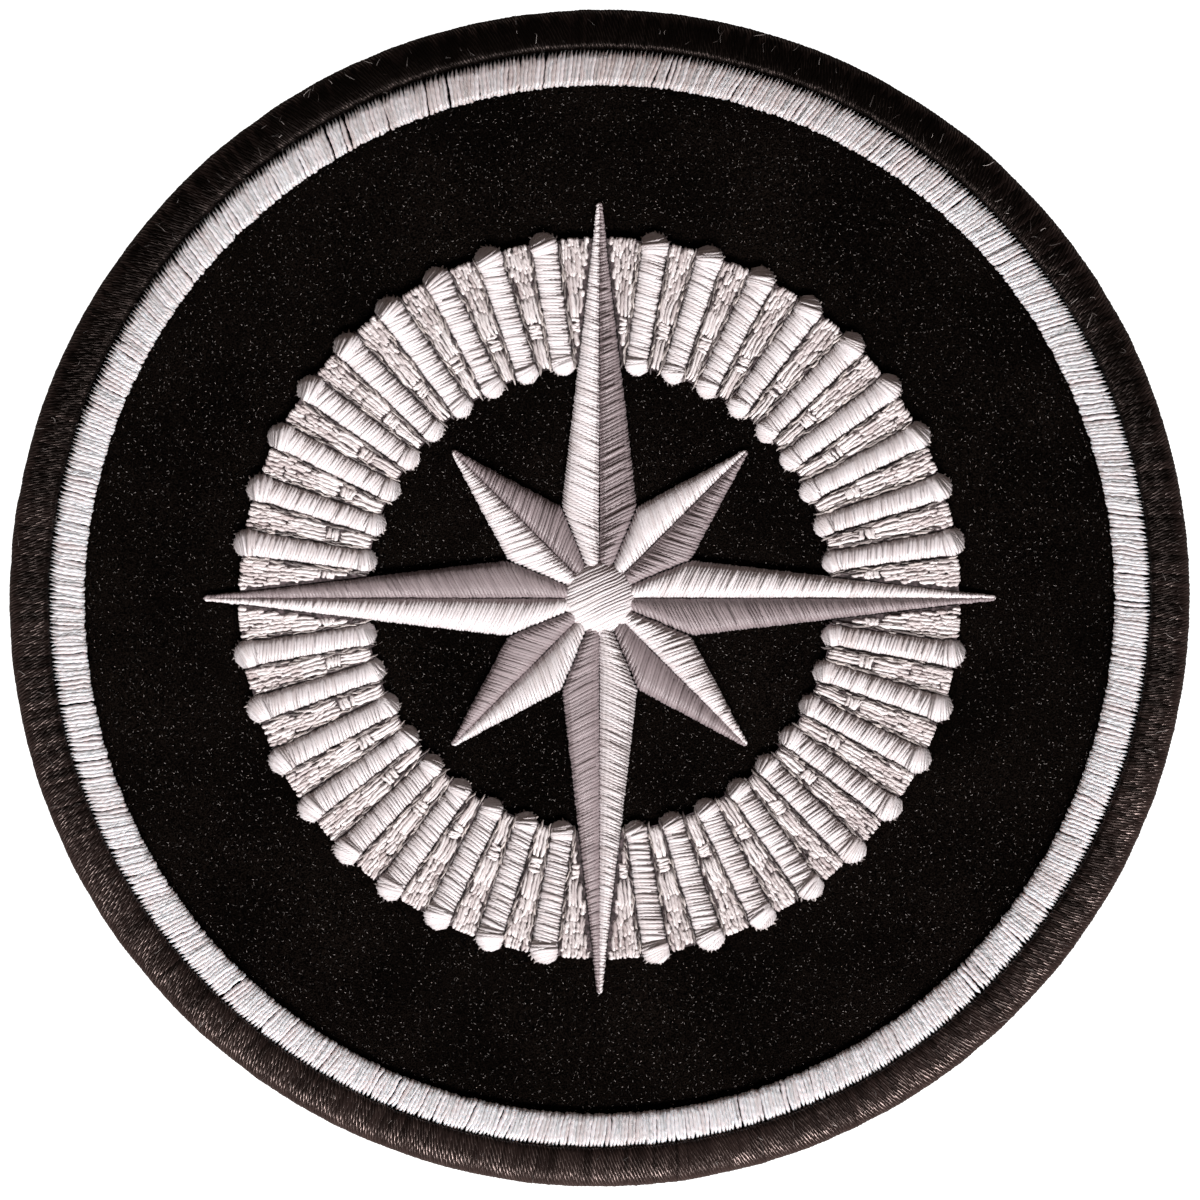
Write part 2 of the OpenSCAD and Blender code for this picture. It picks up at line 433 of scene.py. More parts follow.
# Uneven colour and grain over a cloth, at a given size
def makeGrainGroup():
    tree, given, result = startTree("clothGrain", "ShaderNodeTree", {
        "Light Colour": (0.02, 0.02, 0.02, 1),
        "Deep Colour": (0.0, 0.0, 0.0, 1),
        "Grain Size": 0.2 * mm,
        "Patch Size": 9 * mm,
        "Low Roughness": 0.8,
        "High Roughness": 1.0,
    }, {"Colour": "Color", "Roughness": "Float", "Height": "Float"})
    multiply, divide = operations(tree, "MULTIPLY", "DIVIDE")
    where = addNode(tree, "ShaderNodeTexCoord").outputs["Object"]
    grain = noiseAt(tree, where, divide(1.0, given["Grain Size"]), 4.0)
    broad = noiseAt(tree, where, divide(1.0, given["Patch Size"]), 2.0)
    mixed = multiply(ramp(tree, grain, 0.35, 0.75, 0.0, 1.0), ramp(tree, broad, 0.3, 0.7, 0.5, 1.0))
    tree.links.new(mixColour(tree, mixed, given["Deep Colour"], given["Light Colour"]), result["Colour"])
    rough = ramp(tree, grain, 0.3, 0.7, given["High Roughness"], given["Low Roughness"])
    tree.links.new(rough, result["Roughness"])
    tree.links.new(grain, result["Height"])
    return tree


filamentGroup = makeFilamentGroup()
grainGroup = makeGrainGroup()


def startMaterial(name):
    material = bpy.data.materials.new(name)
    material.use_nodes = True
    tree = material.node_tree
    return material, tree, tree.nodes["Principled BSDF"]


def finishMaterial(tree, shader, found, relief, fixed):
    bump = addNode(tree, "ShaderNodeBump", {"Height": found["Height"], "Strength": 1.0, "Distance": relief})
    tree.links.new(found["Colour"], shader.inputs["Base Color"])
    tree.links.new(found["Roughness"], shader.inputs["Roughness"])
    tree.links.new(bump.outputs[0], shader.inputs["Normal"])
    for name, value in fixed.items():
        shader.inputs[name].default_value = value


# A relief is the depth of one unit of height, and a ply pitch is in mm
def threadMaterial(name, light, deep, spread, plyPitch, plyDepth, roughness, shine, relief,
                   plies=2, dashes=0.0, soft=0.0, tint=(1, 1, 1)):
    material, tree, shader = startMaterial(name)
    found = addNode(tree, "ShaderNodeGroup", {
        "Light Colour": colour(light),
        "Deep Colour": colour(deep),
        "Spread": spread,
        "Plies": plies,
        "Ply Pitch": plyPitch,
        "Ply Depth": plyDepth,
        "Low Roughness": roughness[0],
        "High Roughness": roughness[1],
        "Shine": shine,
        "Dashes": dashes,
    }, node_tree=filamentGroup).outputs
    tree.links.new(found["Shine"], shader.inputs["Specular IOR Level"])
    finishMaterial(tree, shader, found, relief, {
        "Specular Tint": colour(tint),
        "Subsurface Weight": soft,
        "Subsurface Radius": (1.0, 0.85, 0.8),
        "Subsurface Scale": 0.4 * mm,
    })
    return material


def clothMaterial(name, light, deep, grain, roughness, shine, relief=0.03 * mm):
    material, tree, shader = startMaterial(name)
    found = addNode(tree, "ShaderNodeGroup", {
        "Light Colour": colour(light),
        "Deep Colour": colour(deep),
        "Grain Size": grain,
        "Low Roughness": roughness[0],
        "High Roughness": roughness[1],
    }, node_tree=grainGroup).outputs
    finishMaterial(tree, shader, found, relief, {"Specular IOR Level": shine})
    return material


ringThread = threadMaterial(
    "whiteRingRayon", light=(0.83, 0.765, 0.79), deep=(0.4, 0.325, 0.31), spread=0.5, plyPitch=2.5,
    plies=3, plyDepth=3.0, roughness=(0.3, 0.42), shine=0.6, relief=0.007 * mm, soft=0.7)
whiteThread = threadMaterial(
    "whiteRayon", light=(0.81, 0.743, 0.757), deep=(0.52, 0.43, 0.42), spread=0.6, plyPitch=3.0,
    plyDepth=1.2, roughness=(0.3, 0.44), shine=0.75, dashes=0.2, relief=0.006 * mm)
greyThread = threadMaterial(
    "greyRayon", light=(0.92, 0.84, 0.84), deep=(0.4, 0.305, 0.3), spread=0.5, plyPitch=1.8, plies=3,
    plyDepth=3.0, roughness=(0.28, 0.42), shine=1.0, dashes=0.4, relief=0.007 * mm)
lilacThread = threadMaterial(
    "lilacRayon", light=(0.33, 0.265, 0.275), deep=(0.1, 0.07, 0.074), spread=0.5, plyPitch=2.4,
    plyDepth=1.5, roughness=(0.3, 0.5), shine=0.6, relief=0.006 * mm)
edgeThread = threadMaterial(
    "edgingRayon", light=(0.8, 0.7, 0.67), deep=(0.06, 0.04, 0.043), spread=0.3, plyPitch=1.2,
    plyDepth=3.0, roughness=(0.3, 0.5), shine=0.6, relief=0.006 * mm)
blackThread = threadMaterial(
    "blackRayon", light=(0.062, 0.039, 0.035), deep=(0.0012, 0.0008, 0.0006), spread=0.2, plyPitch=3.6,
    plies=6, plyDepth=5.0, roughness=(0.28, 0.4), shine=0.9, dashes=0.9, relief=0.008 * mm,
    tint=(1.0, 0.76, 0.7))
hairThread = threadMaterial(
    "hairRayon", light=(0.5, 0.44, 0.42), deep=(0.03, 0.02, 0.018), spread=0.2, plyPitch=3.0,
    plyDepth=0.0, roughness=(0.3, 0.5), shine=0.5, relief=0.001 * mm)
pileFibre = threadMaterial(
    "pileFibre", light=(0.0012, 0.0009, 0.0008), deep=(0.26, 0.23, 0.22), spread=0.0, plyPitch=1.0,
    plyDepth=0.0, roughness=(0.5, 0.6), shine=0.0, relief=0.001 * mm)
lilacCore = clothMaterial(
    "lilacUnderlay", light=(0.07, 0.052, 0.054), deep=(0.012, 0.008, 0.008), grain=0.3 * mm,
    roughness=(0.6, 0.8), shine=0.3)
paleCore = clothMaterial(
    "paleUnderlay", light=(0.45, 0.41, 0.42), deep=(0.14, 0.12, 0.125), grain=0.2 * mm,
    roughness=(0.5, 0.7), shine=0.4)
blackCore = clothMaterial(
    "blackUnderlay", light=(0.006, 0.004, 0.004), deep=(0.001, 0.001, 0.001), grain=0.25 * mm,
    roughness=(0.8, 1.0), shine=0.0)
brownCore = clothMaterial(
    "brownUnderlay", light=(0.17, 0.125, 0.135), deep=(0.02, 0.014, 0.014), grain=0.3 * mm,
    roughness=(0.6, 0.8), shine=0.3)
velvetCloth = clothMaterial(
    "blackVelvet", light=(0.012, 0.0085, 0.007), deep=(0.0003, 0.0002, 0.0002), grain=0.11 * mm,
    roughness=(0.9, 1.0), shine=0.0, relief=0.08 * mm)
backingCloth = clothMaterial(
    "blackBacking", light=(0.035, 0.03, 0.03), deep=(0.012, 0.01, 0.01), grain=0.3 * mm,
    roughness=(0.5, 0.7), shine=0.4, relief=0.04 * mm)
print("materials made")

# Border: dense stitches looped over the edge of the cloth
border = {
    "stitches": 888,
    "width": 3.18 * mm,
    "slant": (0.25 * mm, 0.2 * mm),  # how far a stitch leans round the edge, and how much that varies
    "skew": -1.2 * mm,  # the crest lies nearer the inner edge
    "raggedness": 0.05 * mm,
    "evenness": 9,  # the higher, the more neighbours at the rim are alike
    "grow": 0.1 * mm,  # how far the stitches stand outside the padding
    "above": 0.05 * mm,  # and above it
    "flatter": 0.04 * mm,  # how much less the stitches underneath bulge
    # painted shade and light: the tone is deeper on the side away from the light, lighter on the side
    # towards it
    "tone": (0.95, 0.15),  # mean, and how much it varies round the patch
    "underTone": 0.85,
    "thread": 0.6 * mm,
    "ovalAmount": 0.1 * mm,
    "ovalAngle": radians(24),
}


# Radius of a band that is a little oval
def ovalRadius(radius, angle, band):
    return radius + band["ovalAmount"] * np.cos(2 * (angle - band["ovalAngle"]))


# Uneven values round the patch, alike over some stitches
def bumpyRound(rng, count, evenness):
    waves = np.arange(count // 2 + 1)
    rough = np.fft.rfft(rng.uniform(-1, 1, count))
    smooth = np.fft.irfft(rough * np.exp(-(waves * evenness / count) ** 2), count)
    return smooth / np.abs(smooth).max()


def makeBorder():
    rng = np.random.RandomState(11)
    count = border["stitches"]
    angle = np.arange(count) * 2 * pi / count
    middle = (borderLow + borderHigh) / 2
    inner = ovalRadius(patchRadius - border["width"], angle, border)
    outer = ovalRadius(patchRadius + border["grow"], angle, border)
    inner += rng.uniform(-1, 1, count) * border["raggedness"]
    outer += bumpyRound(rng, count, border["evenness"]) * border["raggedness"]
    lean = (border["slant"][0] + border["slant"][1] * np.cos(angle)) / patchRadius
    starts = polar(inner, angle, middle)
    ends = polar(outer, angle - lean, middle)
    high = (borderHigh - borderLow) / 2
    # painted shade and light: deeper tone on the side away from the light, lighter towards it
    tones = border["tone"][0] + border["tone"][1] * np.sin(angle)
    shared = {
        "Width": border["thread"], "Skew": border["skew"], "Ply Pitch": 1.0, "Crown Spread": 0.02,
        "Width Spread": 0.12, "Swell": 0.1, "Wander": 0.09 * mm, "Loose Turn": 0.06,
        "Seed": 21, "Material": blackThread,
    }
    top = starts, ends, high + border["above"], tones
    under = starts, ends, high - border["flatter"], border["underTone"]
    return sew("borderStitches", top, shared | archAngles(176, -24) | {
        # End Fade lightens the rim: partly fuzzed thread, partly painted light on the edge
        "Segments": 15, "Sides": 6, "Flatness": 0.3, "End Fade": -2.8,
        "Start Taper": 0.7, "Start Share": 0.06, "End Taper": 1.0,
    }) + sew("borderUnderStitches", under, shared | archAngles(-14, -140) | {
        "Segments": 5, "Sides": 3, "Flatness": 0.2,
        "Start Taper": 1.0, "End Taper": 0.6, "End Share": 0.1,
    })


# Ring: white satin stitches side by side, with pointed outer ends
ring = {
    "stitches": 888,
    "width": 3.1 * mm,
    "lean": (0.05 * mm, 0.3 * mm),
    "overhang": 0.22 * mm,
    "shoulder": 0.18 * mm,  # how far above the cloth a stitch ends
    "above": 0.1 * mm,
    "tone": 0.12,
    # painted shade: how much deeper in tone the stitches on the side away from the light are
    "paintedShade": (0.45, 5),  # of the side away from the light, and how quickly it fades
    "shift": (0.0, -0.12 * mm, 0.0),
    "skew": -0.85 * mm,
    "slitShare": 0.18,
    "slitWidth": 0.6,
    "slitSpread": (-0.2, 0.8),  # how much of a slit there is at the outer ends
    "startTurn": 0.0004,
    "raggedness": 0.07 * mm,
    "thread": 0.46 * mm,
    "ovalAmount": 0.12 * mm,
    "ovalAngle": radians(36),
}


# Angles round the patch, spaced as the weights say
def spreadRound(weights):
    return (np.cumsum(weights) - weights[0] / 2) * 2 * pi / weights.sum()


def makeRing():
    rng = np.random.RandomState(12)
    count = ring["stitches"]
    slit = rng.uniform(0, 1, count) < ring["slitShare"]
    angle = spreadRound(1 + slit * ring["slitWidth"])
    outerAngle = spreadRound(1 + slit * ring["slitWidth"] * rng.uniform(*ring["slitSpread"], count))
    outer = ovalRadius(ringOuter + ring["overhang"], angle, ring)
    inner = outer - ring["width"]
    outer += rng.uniform(-1, 1, count) * ring["raggedness"]
    inner += rng.uniform(-1, 1, count) * ring["raggedness"]
    innerAngle = angle + rng.uniform(-1, 1, count) * ring["startTurn"]
    starts = polar(inner, innerAngle, clothTop) + ring["shift"]
    lean = (ring["lean"][0] + ring["lean"][1] * np.cos(angle)) / ringOuter
    ends = polar(outer, outerAngle - lean, clothTop + ring["shoulder"]) + ring["shift"]
    crown = ringHigh - clothTop + ring["above"]
    # painted shade: stitches on the side away from the light get a deeper tone
    tones = ring["tone"] + ring["paintedShade"][0] * np.maximum(np.sin(angle), 0) ** ring["paintedShade"][1]
    return sew("ringStitches", (starts, ends, crown, tones), archAngles(155, 0) | {
        "Width": ring["thread"], "Segments": 18, "Sides": 5, "Flatness": 0.75, "Crown Spread": 0.06,
        "Skew": ring["skew"], "Swell": 0.1, "Swell Length": 0.62 * mm, "Wander": 0.12 * mm,
        # Start Fade deepens the inner ends a little: painted shade where they dip to the cloth
        "Roundness": 0.9, "Start Fade": 0.1, "Start Taper": 0.75, "Start Share": 0.06,
        "End Taper": 0.07, "End Share": 0.33, "Seed": 31, "Material": ringThread,
    })


# Ribs: satin bars across their length, with threads that fan round the knobs
rib = {
    "places": 40,
    "inner": 20.3 * mm,
    "outer": 30.2 * mm,
    "innerHalf": 0.85 * mm,
    "outerHalf": 1.05 * mm,
    "knobExtra": 0.12 * mm,
    "sink": 0.2 * mm,
    "pitch": 0.27 * mm,
    "slant": radians(12),
    "endGap": 0.3 * mm,  # left to the outer knob's threads
    "knobStitches": 10,
    "knobFan": (-104, 14),  # degrees that both ends of a knob's threads run through
    "knobPivot": (112, 62),
    "overshoot": (-0.02 * mm, 0.08 * mm),
    "lowest": 0.15 * mm,
    "above": 0.06 * mm,
    "tones": (0.05, 0.2),
    "thread": 0.5 * mm,
}


# Chords across a knob that fan round its end, from one side to the other
def knobStitches(middle, radius, way):
    share = np.linspace(0, 1, rib["knobStitches"])
    turns = (rib["knobFan"], rib["knobPivot"])
    angles = [np.radians(first + (last - first) * share) for first, last in turns]
    a, b = (columns(middle + way * radius * np.cos(angle), way * radius * np.sin(angle)) for angle in angles)
    high = radius * np.sin((angles[1] - angles[0]) / 2) - rib["sink"]
    return (a, b, high) if way > 0 else (b, a, high)


def ribStitches(rng):
    x = np.arange(rib["inner"], rib["outer"] - rib["endGap"], rib["pitch"])
    share = (x - rib["inner"]) / (rib["outer"] - rib["inner"])
    half = rib["innerHalf"] + share * (rib["outerHalf"] - rib["innerHalf"])
    shift = half * tan(rib["slant"])
    sets = [(columns(x - shift, -half), columns(x + shift, half), half - rib["sink"])]
    for name, way in (("inner", -1), ("outer", 1)):
        sets.append(knobStitches(rib[name], rib[name + "Half"] + rib["knobExtra"], way))
    starts, ends, crowns = joinSets(sets)
    along = (ends - starts) / np.linalg.norm(ends - starts, axis=1)[:, None]
    starts = starts - along * rng.uniform(*rib["overshoot"], (len(starts), 1))
    ends = ends + along * rng.uniform(*rib["overshoot"], (len(ends), 1))
    crowns = np.maximum(crowns, rib["lowest"]) + rib["above"]
    return columns(*starts.T, clothTop), columns(*ends.T, clothTop), crowns


# The places round the band, apart from those of the four long rays
def ribPlaces():
    quarter = rib["places"] // 4
    return [place for place in range(rib["places"]) if place % quarter]


def makeRibs():
    rng = np.random.RandomState(13)
    sets = []
    for place in ribPlaces():
        angle = place * 2 * pi / rib["places"]
        starts, ends, crowns = ribStitches(rng)
        tones = np.full(len(crowns), rng.uniform(*rib["tones"]))
        sets.append((turnRound(starts, angle), turnRound(ends, angle), crowns, tones))
    return sew("ribStitches", joinSets(sets), archAngles(188, -8) | {
        "Width": rib["thread"], "Segments": 8, "Sides": 4, "Flatness": 0.27, "Roundness": 0.78,
        "Wander": 0.05 * mm, "Crown Spread": 0.04, "Ply Pitch": 200 * mm, "Loose Turn": 0.15,
        "Start Taper": 0.5, "End Taper": 0.5, "Seed": 41, "Material": whiteThread,
    })


# Rose: each point is two columns of satin, sewn from its ridge out to its edge
rose = {
    "longTip": 33.6 * mm,
    "shortTip": 17.6 * mm,
    "notch": 8.5 * mm,
    "tipHalf": 0.12 * mm,
    "gap": 0.1 * mm,
    "high": 0.8 * mm,
    "thin": 0.15 * mm,
    "rise": 0.45,
    "pitch": 0.28 * mm,
    "slant": radians(62),  # between a stitch and the ridge
    "first": 1.2 * mm,  # where the first stitch of a column starts
    "lastGap": 0.15 * mm,  # and how far from the tip the last one does
    "ridgeGap": 0.03 * mm,
    "reach": (0.1 * mm, 6 * mm),  # least and most length of a stitch
    "overshoot": (-0.02 * mm, 0.07 * mm),
    "above": 0.05 * mm,
    "tone": 0.12,
    "thread": 0.48 * mm,
}


def rayHalf(x, tip):
    notchX = rose["notch"] * cos(pi / 8)
    notchY = rose["notch"] * sin(pi / 8)
    outerPart = rose["tipHalf"] + (notchY - rose["gap"] - rose["tipHalf"]) * (tip - x) / (tip - notchX)
    return np.where(x < notchX, x * notchY / notchX - rose["gap"], outerPart)


def rayHeight(x, y, tip):
    width = np.maximum(rayHalf(x, tip) - rose["gap"] / 2, 1e-6)
    high = np.minimum(rose["high"], rose["thin"] + rose["rise"] * width)
    across = np.minimum(np.abs(2 * (y - rose["gap"] / 2) / width - 1), 1)
    return high * domeHeight(across)


def rayStitches(tip, rng):
    first, last = rose["first"], tip - rose["lastGap"]
    count = int((last - first) / rose["pitch"])
    x = np.linspace(first, last, count)
    dx, dy = cos(rose["slant"]), sin(rose["slant"])

    # the reach of each stitch to the edge of the point, found by halving
    low, high = np.zeros(count), np.full(count, rose["reach"][1])
    for halving in range(30):
        reach = (low + high) / 2
        inside = (reach * dy < rayHalf(x + reach * dx, tip)) & (x + reach * dx < tip)
        low, high = np.where(inside, reach, low), np.where(inside, high, reach)
    reach = np.maximum(low, rose["reach"][0]) + rng.uniform(*rose["overshoot"], count)

    # the lowest crown that clears the padding all along the arch
    crown = np.zeros(count)
    for share in np.linspace(0.06, 0.94, 15):
        padding = rayHeight(x + dx * reach * share, dy * reach * share, tip)
        crown = np.maximum(crown, padding / domeHeight(2 * share - 1))
    ends = columns(x + dx * reach, dy * reach, clothTop)
    return columns(x, rose["ridgeGap"], clothTop), ends, crown + rose["above"]


def makeRose():
    rng = np.random.RandomState(14)
    halves = {"light": [], "dark": []}
    for ray in range(8):
        tip = rose["shortTip"] if ray % 2 else rose["longTip"]
        for shade, flip in (("light", 1), ("dark", -1)):
            *points, crowns = rayStitches(tip, rng)
            starts, ends = (turnRound(part * np.array([1, flip, 1]), ray * pi / 4) for part in points)
            halves[shade].append((starts, ends, crowns, np.full(len(crowns), rose["tone"])))
    made = []
    for shade, thread, seed in (("light", whiteThread, 51), ("dark", lilacThread, 52)):
        made += sew("pointStitches" + shade.capitalize(), joinSets(halves[shade]), archAngles(186, -6) | {
            "Width": rose["thread"], "Segments": 8, "Sides": 4, "Flatness": 0.4, "Wander": 0.04 * mm,
            "Crown Spread": 0.04, "Roundness": 0.87, "Start Taper": 0.6, "End Taper": 0.45,
            "Seed": seed, "Material": thread,
        })
    return made


# Hub: a round satin button, its stitches all one way
hub = {
    "radius": 3.0 * mm,
    "high": 1.1 * mm,
    "pitch": 0.26 * mm,
    "way": radians(24),
    "margin": 0.1 * mm,
    "overshoot": (-0.03 * mm, 0.08 * mm),
    "above": 0.06 * mm,
    "tone": 0.1,
    "thread": 0.48 * mm,
}


def makeHub():
    rng = np.random.RandomState(15)
    reach = hub["radius"] - hub["margin"]
    y = np.arange(-reach, reach, hub["pitch"])
    half = np.sqrt(hub["radius"] ** 2 - y ** 2)
    ragged = rng.uniform(*hub["overshoot"], (2, len(y)))
    starts = turnRound(columns(-half - ragged[0], y, clothTop), hub["way"])
    ends = turnRound(columns(half + ragged[1], y, clothTop), hub["way"])
    crowns = hub["high"] * domeHeight(y / hub["radius"]) + hub["above"]
    return sew("hubStitches", (starts, ends, crowns, hub["tone"]), archAngles(184, -4) | {
        "Width": hub["thread"], "Segments": 22, "Sides": 6, "Flatness": 0.4, "Crown Spread": 0.03,
        "Start Taper": 0.5, "Start Share": 0.08, "End Taper": 0.5, "End Share": 0.08,
        "Seed": 61, "Material": whiteThread,
    })


# Fill: rows of stitches along the gaps between the ribs, in zones from the inner end outwards
fill = {
    "inner": 19.9 * mm,
    "outer": 30.6 * mm,
    "high": 0.42 * mm,
    "sink": 0.03 * mm,
    "rowGap": 0.27 * mm,
    "margin": 0.38 * mm,  # left free beside a rib
    "samples": 60,  # places along a gap where its sides are known
    "longRows": ((0.0, 0.27), (0.38, 0.6)),
    "longLook": (0.16 * mm, 0.15),  # height and tone
    "crossRows": (0.275, 0.38),  # bright stitches across the gap
    "crossGap": 0.24 * mm,
    "crossSample": 20,  # the place that gives their length
    "crossLeast": 0.4 * mm,
    "crossSlip": 0.18 * mm,
    "crossInset": 0.05 * mm,
    "crossHigh": 0.15 * mm,
    "crossTones": (0.0, 0.15),
    "brickRows": 0.6,  # from here outwards
    "brickStart": (-0.7 * mm, 0.1 * mm),
    "brick": (0.8 * mm, 1.6 * mm),
    "brickLook": (0.1 * mm, 0.35),
    "jitter": 0.18 * mm,
    "overlap": 0.1 * mm,
    "overhang": 0.15 * mm,
    "shortest": 0.5 * mm,
    "drift": 0.05 * mm,
    "crownSpread": (0.7, 1.3),
    "toneSpread": 0.2,
    "thread": 0.39 * mm,
}


# Half the width of what stands at a place of the band
def bandSide(place, x):
    if place % (rib["places"] // 4) == 0:
        return rayHalf(x, rose["longTip"])
    spread = (rib["outerHalf"] - rib["innerHalf"]) / (rib["outer"] - rib["inner"])
    return rib["innerHalf"] + spread * (x - rib["inner"])


# Distance from the middle of the patch at a share of the way out through the band
def fillAt(share):
    return fill["inner"] + share * (fill["outer"] - fill["inner"])


def fillRow(y, reachStart, rng):
    parts = [(fillAt(a), fillAt(b), fill["longLook"]) for a, b in fill["longRows"]]
    at = fillAt(fill["brickRows"]) + rng.uniform(*fill["brickStart"])
    while at < fill["outer"]:
        further = at + rng.uniform(*fill["brick"])
        parts.append((at, further, fill["brickLook"]))
        at = further
    for a, b, (crown, tone) in parts:
        a = max(a - fill["overlap"] + rng.uniform(-1, 1) * fill["jitter"], reachStart)
        b = min(b + fill["overlap"] + rng.uniform(-1, 1) * fill["jitter"], fill["outer"] + fill["overhang"])
        if b - a > fill["shortest"]:
            drift = rng.uniform(-1, 1) * fill["drift"]
            high = crown * rng.uniform(*fill["crownSpread"])
            yield (a, y - drift), (b, y + drift), high, tone + rng.uniform(-1, 1) * fill["toneSpread"]


def fillCross(left, right, rng):
    low, high = (fillAt(share) for share in fill["crossRows"])
    for x in np.arange(low, high, fill["crossGap"]):
        slip = rng.uniform(-1, 1, 2) * fill["crossSlip"]
        start = x + slip[0], -left + fill["crossInset"]
        end = x + slip[1], right - fill["crossInset"]
        yield start, end, fill["crossHigh"], rng.uniform(*fill["crossTones"])


def makeFill():
    rng = np.random.RandomState(16)
    step = 2 * pi / rib["places"]
    samples = np.linspace(fill["inner"], fill["outer"], fill["samples"])
    middle = samples * sin(step / 2)
    level = clothTop + fill["high"] - fill["sink"]
    cross = fill["crossSample"]
    sets = []
    for place in range(rib["places"]):
        left = middle - bandSide(place, samples) - fill["margin"]
        right = middle - bandSide(place + 1, samples) - fill["margin"]
        width = left + right
        rows = max(int(width[-1] / fill["rowGap"]), 1)
        found = list(fillCross(left[cross], right[cross], rng)) if width[cross] > fill["crossLeast"] else []
        for row in range(rows):
            y = -left[-1] + (row + 0.5) * width[-1] / rows
            inside = (y > -left) & (y < right)
            if inside.any():
                found += fillRow(y, samples[inside][0], rng)
        starts, ends, crowns, tones = (np.array(parts) for parts in zip(*found))
        turn = (place + 0.5) * step
        starts, ends = (turnRound(columns(*part.T, level), turn) for part in (starts, ends))
        sets.append((starts, ends, crowns, tones))
    return sew("fillStitches", joinSets(sets), archAngles(194, -14) | {
        "Width": fill["thread"], "Segments": 8, "Sides": 4, "Flatness": 0.5, "Roundness": 0.7,
        "Wander": 0.15 * mm, "Wander Size": 0.7 * mm, "Start Taper": 0.45, "End Taper": 0.45,
        "Swell": 0.2, "Width Spread": 0.25, "Seed": 71, "Material": greyThread,
    })


# Edging: loose lilac stitches of the first layer, which show beside the ribs and round their knobs
edging = {
    "pitch": 0.3 * mm,
    "offset": 0.27 * mm,
    "lead": 0.2 * mm,  # how far inwards of a rib's inner end they start
    "jitter": (0.15 * mm, 0.13 * mm),  # along and across a rib
    "shortest": 0.6 * mm,
    "longest": 1.5 * mm,
    "turns": (0.22, 0.5),  # spread of the headings beside a rib and round a knob
    "levels": (0.4 * mm, 0.02 * mm),  # above the cloth, there and there
    "crowns": (0.08 * mm, 0.2 * mm),
    "darkness": 0.6,
    "thread": 0.22 * mm,
    "knobReach": 1.9,  # half the angle round a knob that they cover
    "knobPitch": radians(17),
    "knobJitter": (-0.1 * mm, 0.06 * mm),
    "knobShare": 0.5,  # of the length of the others
}


# Middles, headings, heights and relative lengths of the stitches beside a rib and round its knobs
def edgingPlaces(rng):
    for side in (-1, 1):
        x = np.arange(rib["inner"] - edging["lead"], rib["outer"], edging["pitch"])
        x = x + rng.uniform(-1, 1, len(x)) * edging["jitter"][0]
        y = side * (bandSide(1, x) + edging["offset"] + rng.uniform(-1, 1, len(x)) * edging["jitter"][1])
        yield x, y, rng.uniform(-1, 1, len(x)) * edging["turns"][0], edging["levels"][0], 1
    for name, way in (("inner", pi), ("outer", 0.0)):
        around = np.arange(-edging["knobReach"], edging["knobReach"], edging["knobPitch"])
        reach = rib[name + "Half"] + rib["knobExtra"] + rng.uniform(*edging["knobJitter"], len(around))
        x, y = rib[name] + reach * np.cos(around + way), reach * np.sin(around + way)
        heading = around + way + rng.uniform(-1, 1, len(x)) * edging["turns"][1]
        yield x, y, heading, edging["levels"][1], edging["knobShare"]


def makeEdging():
    rng = np.random.RandomState(18)
    sets = []
    for place in ribPlaces():
        turn = place * 2 * pi / rib["places"]
        for x, y, heading, level, scale in list(edgingPlaces(rng)):
            half = rng.uniform(edging["shortest"], edging["longest"], len(x)) / 2 * scale
            dx, dy = half * np.cos(heading), half * np.sin(heading)
            starts = turnRound(columns(x - dx, y - dy, clothTop + level), turn)
            ends = turnRound(columns(x + dx, y + dy, clothTop + level), turn)
            crowns = rng.uniform(*edging["crowns"], len(x))
            sets.append((starts, ends, crowns, rng.uniform(0.0, 1.0, len(x)) ** edging["darkness"]))
    return sew("edgingStitches", joinSets(sets), {
        "Width": edging["thread"], "Segments": 4, "Sides": 3, "Flatness": 0.8, "Wander": 0.12 * mm,
        "Wander Size": 0.6 * mm, "Start Taper": 0.4, "End Taper": 0.4, "Seed": 75, "Material": edgeThread,
    })


# Hairs: broken filaments that stand off the border and the ring
hairs = {
    "count": 460,
    "from": 45.0 * mm,
    "to": 50.0 * mm,
    "shortest": 0.25 * mm,
    "longest": 1.2 * mm,
    "above": 0.1 * mm,
    "turn": 0.7,  # spread of their headings off the radius
    "crowns": (0.04 * mm, 0.2 * mm),
    "thread": 0.045 * mm,
}


def makeHairs():
    rng = np.random.RandomState(19)
    count = hairs["count"]
    angle = rng.uniform(0, 2 * pi, count)
    radius = rng.uniform(hairs["from"], hairs["to"], count)
    half = border["width"] / 2
    across = np.clip((radius - patchRadius + half) / half, -1, 1)
    middle = (borderLow + borderHigh) / 2
    high = np.maximum(middle + (borderHigh - middle) * domeHeight(across), ringHigh) + hairs["above"]
    heading = angle + rng.normal(0, hairs["turn"], count)
    reach = rng.uniform(hairs["shortest"], hairs["longest"], count) / 2
    points = polar(radius, angle, high)
    along = polar(reach, heading, 0.0)
    crowns = rng.uniform(*hairs["crowns"], count)
    tones = 1 - rng.uniform(0, 1, count) ** 3
    return sew("strayHairs", (points - along, points + along, crowns, tones), archAngles(200, -20) | {
        "Width": hairs["thread"], "Segments": 5, "Sides": 3, "Flatness": 0.9, "Wander": 0.25 * mm,
        "Start Taper": 0.3, "End Taper": 0.3, "Seed": 77, "Material": hairThread,
    })


